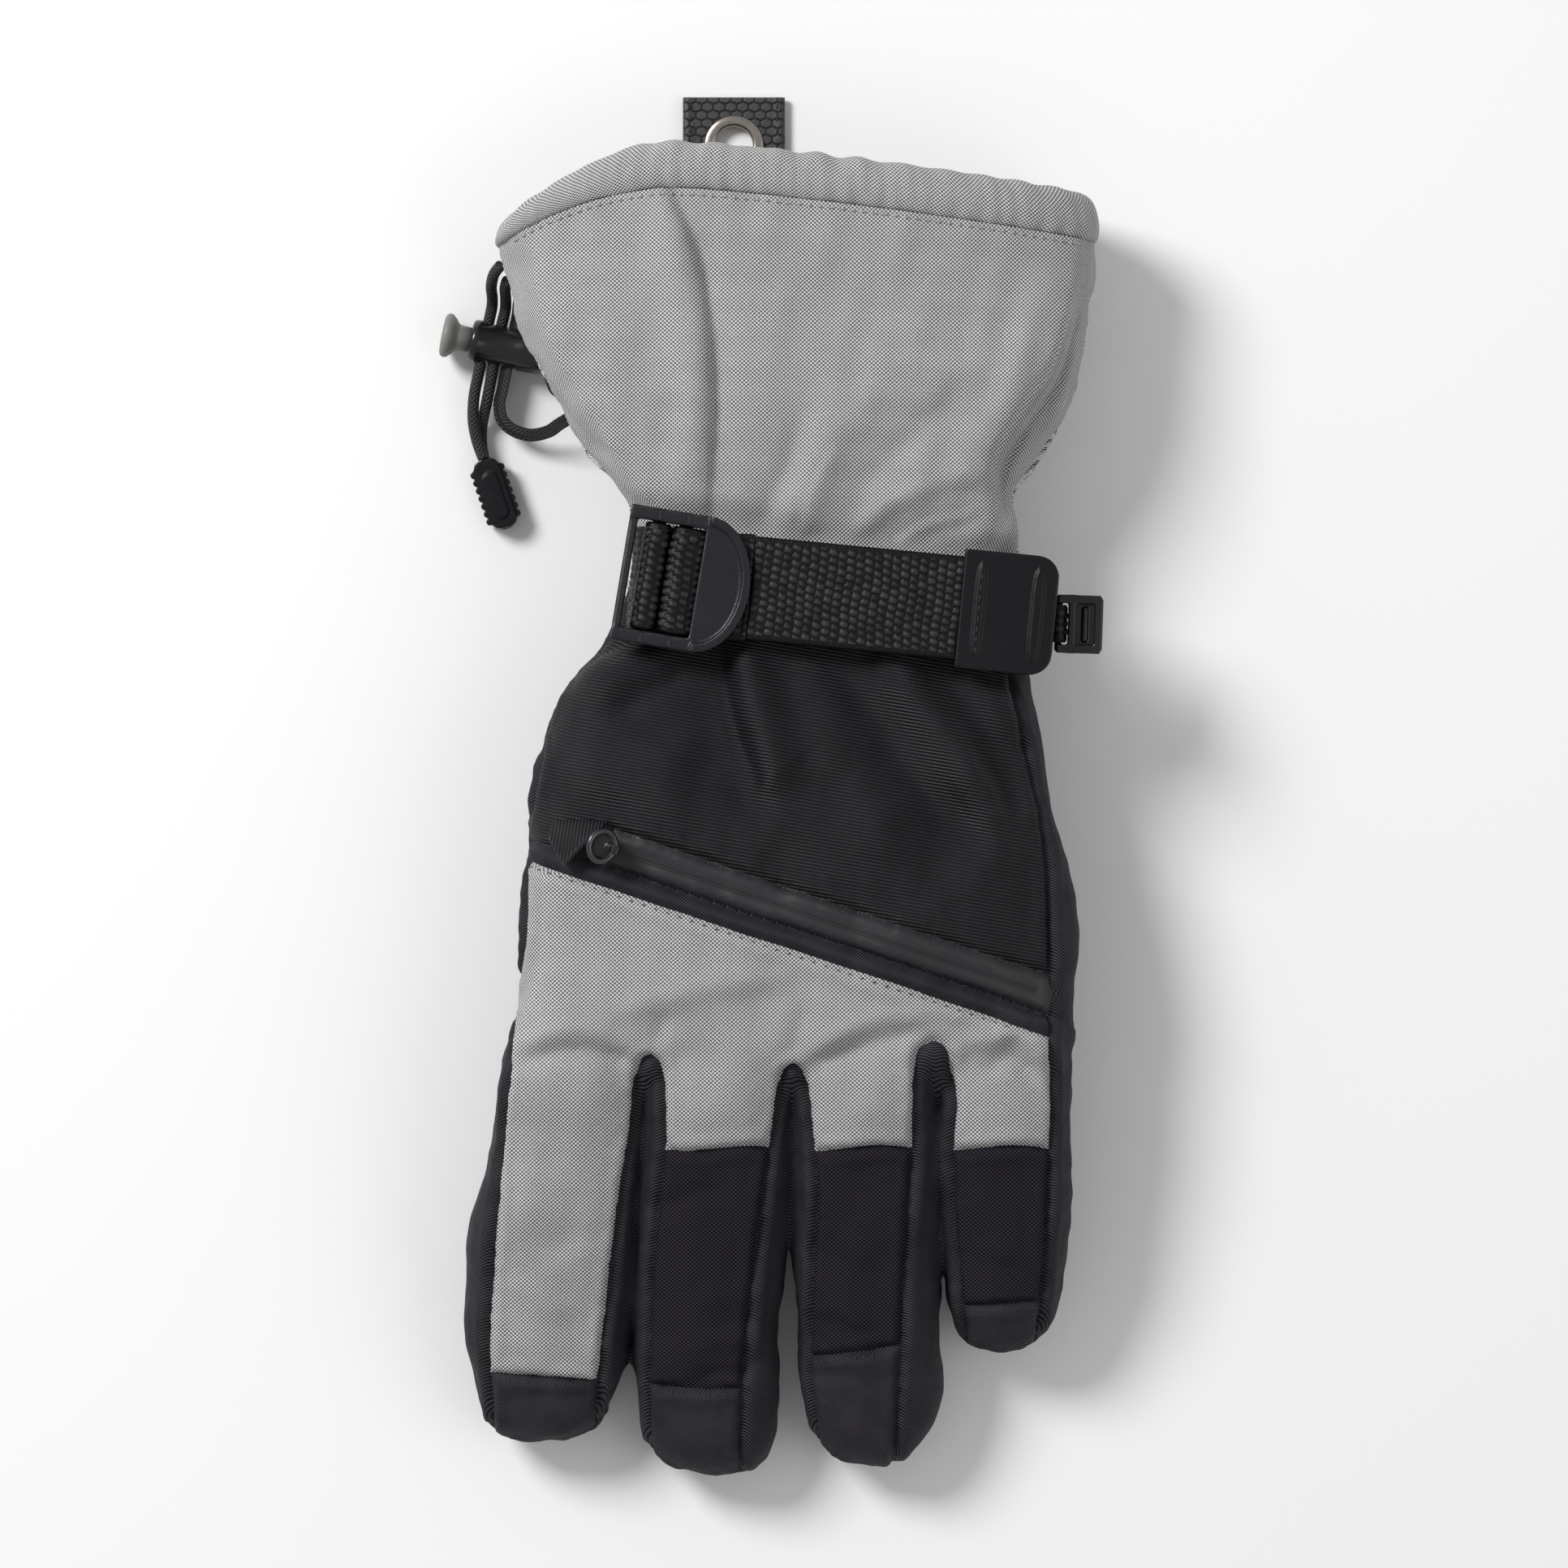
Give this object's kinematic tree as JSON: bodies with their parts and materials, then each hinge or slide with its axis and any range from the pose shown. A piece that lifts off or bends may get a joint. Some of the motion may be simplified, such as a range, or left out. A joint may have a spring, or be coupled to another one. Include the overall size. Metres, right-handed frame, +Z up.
{
  "type": "ski glove",
  "caption": "Insulated five-finger ski glove for the left hand with a gauntlet cuff, wrist strap and buckle, zipped back pocket, drawcord hem with a cord lock and a pull strap with an eyelet.",
  "frame": {"origin": "middle of the glove's footprint, on the surface it lies on", "axes": "+Y from the fingertips to the cuff, +X from the index finger to the little finger, +Z up, out of the back of the hand"},
  "size_m": [0.1614, 0.3368, 0.0538],
  "materials": {
    "grey_weave": "coarse plain-woven shell fabric, matt",
    "black_twill": "ribbed twill shell fabric, matt",
    "palm_leather": "synthetic leather embossed with small hexagons",
    "pad_leather": "pebbled synthetic leather",
    "softshell": "smooth matt softshell",
    "webbing": "coarse ribbed webbing",
    "buckle_plastic": "satin moulded acetal",
    "zip_film": "smooth laminated film over the zip's tape",
    "zip_metal": "black lacquered",
    "eyelet_metal": "gunmetal",
    "fill": "bonded polyester wadding",
    "fleece": "brushed lining",
    "elastic": "woven elastic",
    "cord_rubber": "braided elastic cord",
    "tpr": "soft moulded rubber",
    "spring_steel": "drawn wire"
  },
  "bodies": {
    "hand": {"back_panel": "black_twill", "knuckle_panel": "grey_weave", "palm_panel": "palm_leather", "zip_tape": "zip_film", "zip_coil": "zip_film", "zip_garage": "black_twill", "pocket_bag": "fleece", "insulation": "fill", "lining": "fleece", "gauntlet_back": "grey_weave", "gauntlet_palm": "grey_weave", "gauntlet_lining": "fleece", "cuff_hem": "grey_weave", "hem_drawcord": "cord_rubber", "wrist_elastic": "elastic", "pull_strap": "palm_leather", "eyelet": "eyelet_metal", "strap_lower": "webbing", "anchor_web": "webbing", "pair_clip_web": "webbing", "index_root_back": "grey_weave", "index_root_palm": "palm_leather", "middle_root_back": "black_twill", "middle_root_palm": "palm_leather", "ring_root_back": "black_twill", "ring_root_palm": "palm_leather", "little_root_back": "black_twill", "little_root_palm": "palm_leather", "drawcord_front": "cord_rubber", "drawcord_rear": "cord_rubber", "cord_end": "tpr", "cord_tape": "webbing"},
    "thumb": {"thumb_shell": "softshell", "thumb_liner": "fleece"},
    "slider": {"zip_slider": "zip_metal"},
    "zip_puller": {"zip_ring": "zip_metal"},
    "buckle": {"ladder_buckle": "buckle_plastic", "strap_wrap": "webbing"},
    "tail": {"strap_tail": "webbing", "strap_end_tab": "tpr"},
    "clip": {"pair_clip_frame": "buckle_plastic", "pair_clip_latch": "buckle_plastic"},
    "cord_lock": {"cord_lock_barrel": "buckle_plastic", "cord_lock_spring": "spring_steel"},
    "lock_button": {"cord_lock_plunger": "buckle_plastic"},
    "index_tip": {"index_tip_back": "grey_weave", "index_tip_pad": "pad_leather", "index_tip_liner": "fleece"},
    "middle_tip": {"middle_tip_back": "black_twill", "middle_tip_pad": "pad_leather", "middle_tip_liner": "fleece"},
    "ring_tip": {"ring_tip_back": "black_twill", "ring_tip_pad": "pad_leather", "ring_tip_liner": "fleece"},
    "little_tip": {"little_tip_back": "black_twill", "little_tip_pad": "pad_leather", "little_tip_liner": "fleece"}
  },
  "joints": [
    {"name": "index_curl", "type": "hinge", "parent": "hand", "child": "index_tip", "pos_m": [-0.057, -0.1143, 0.022], "axis": [1, 0, 0], "range_deg": [0, 55], "stiffness_Nm_per_rad": 0.12},
    {"name": "middle_curl", "type": "hinge", "parent": "hand", "child": "middle_tip", "pos_m": [-0.0186, -0.1143, 0.022], "axis": [1, 0, 0], "range_deg": [0, 55], "stiffness_Nm_per_rad": 0.12},
    {"name": "ring_curl", "type": "hinge", "parent": "hand", "child": "ring_tip", "pos_m": [0.0194, -0.1143, 0.022], "axis": [1, 0, 0], "range_deg": [0, 55], "stiffness_Nm_per_rad": 0.12},
    {"name": "little_curl", "type": "hinge", "parent": "hand", "child": "little_tip", "pos_m": [0.0538, -0.0963, 0.0246], "axis": [1, 0, 0], "range_deg": [0, 55], "stiffness_Nm_per_rad": 0.12},
    {"name": "thumb_swing", "type": "hinge", "parent": "hand", "child": "thumb", "pos_m": [-0.032, 0.022, 0.0086], "axis": [0, 0, -1], "range_deg": [0, 60]},
    {"name": "zip_slide", "type": "slide", "parent": "hand", "child": "slider", "axis": [0.9485, -0.3168, 0], "range_m": [0, 0.085]},
    {"name": "puller_flip", "type": "hinge", "parent": "slider", "child": "zip_puller", "pos_m": [-0.04043, -0.01579, 0.05045], "axis": [0.3168, 0.9485, 0], "range_deg": [0, 130]},
    {"name": "buckle_lift", "type": "hinge", "parent": "hand", "child": "buckle", "pos_m": [-0.03208, 0.04884, 0.048], "axis": [-0.1478, -0.989, 0], "range_deg": [0, 30]},
    {"name": "tail_lift", "type": "hinge", "parent": "hand", "child": "tail", "pos_m": [-0.00775, 0.04687, 0.0491], "axis": [-0.0958, -0.9954, 0], "range_deg": [0, 90]},
    {"name": "clip_swing", "type": "hinge", "parent": "hand", "child": "clip", "pos_m": [0.066, 0.0386, 0.0384], "axis": [-0.0349, -0.9994, 0], "range_deg": [-70, 40]},
    {"name": "lock_slide", "type": "slide", "parent": "hand", "child": "cord_lock", "axis": [0.1994, 0.9799, 0], "range_m": [-0.006, 0.002]},
    {"name": "button_press", "type": "slide", "parent": "cord_lock", "child": "lock_button", "axis": [0.9799, -0.1994, 0], "range_m": [0, 0.003], "stiffness_N_per_m": 300, "springref_m": -0.002, "deforming": ["cord_lock_spring"]}
  ]
}
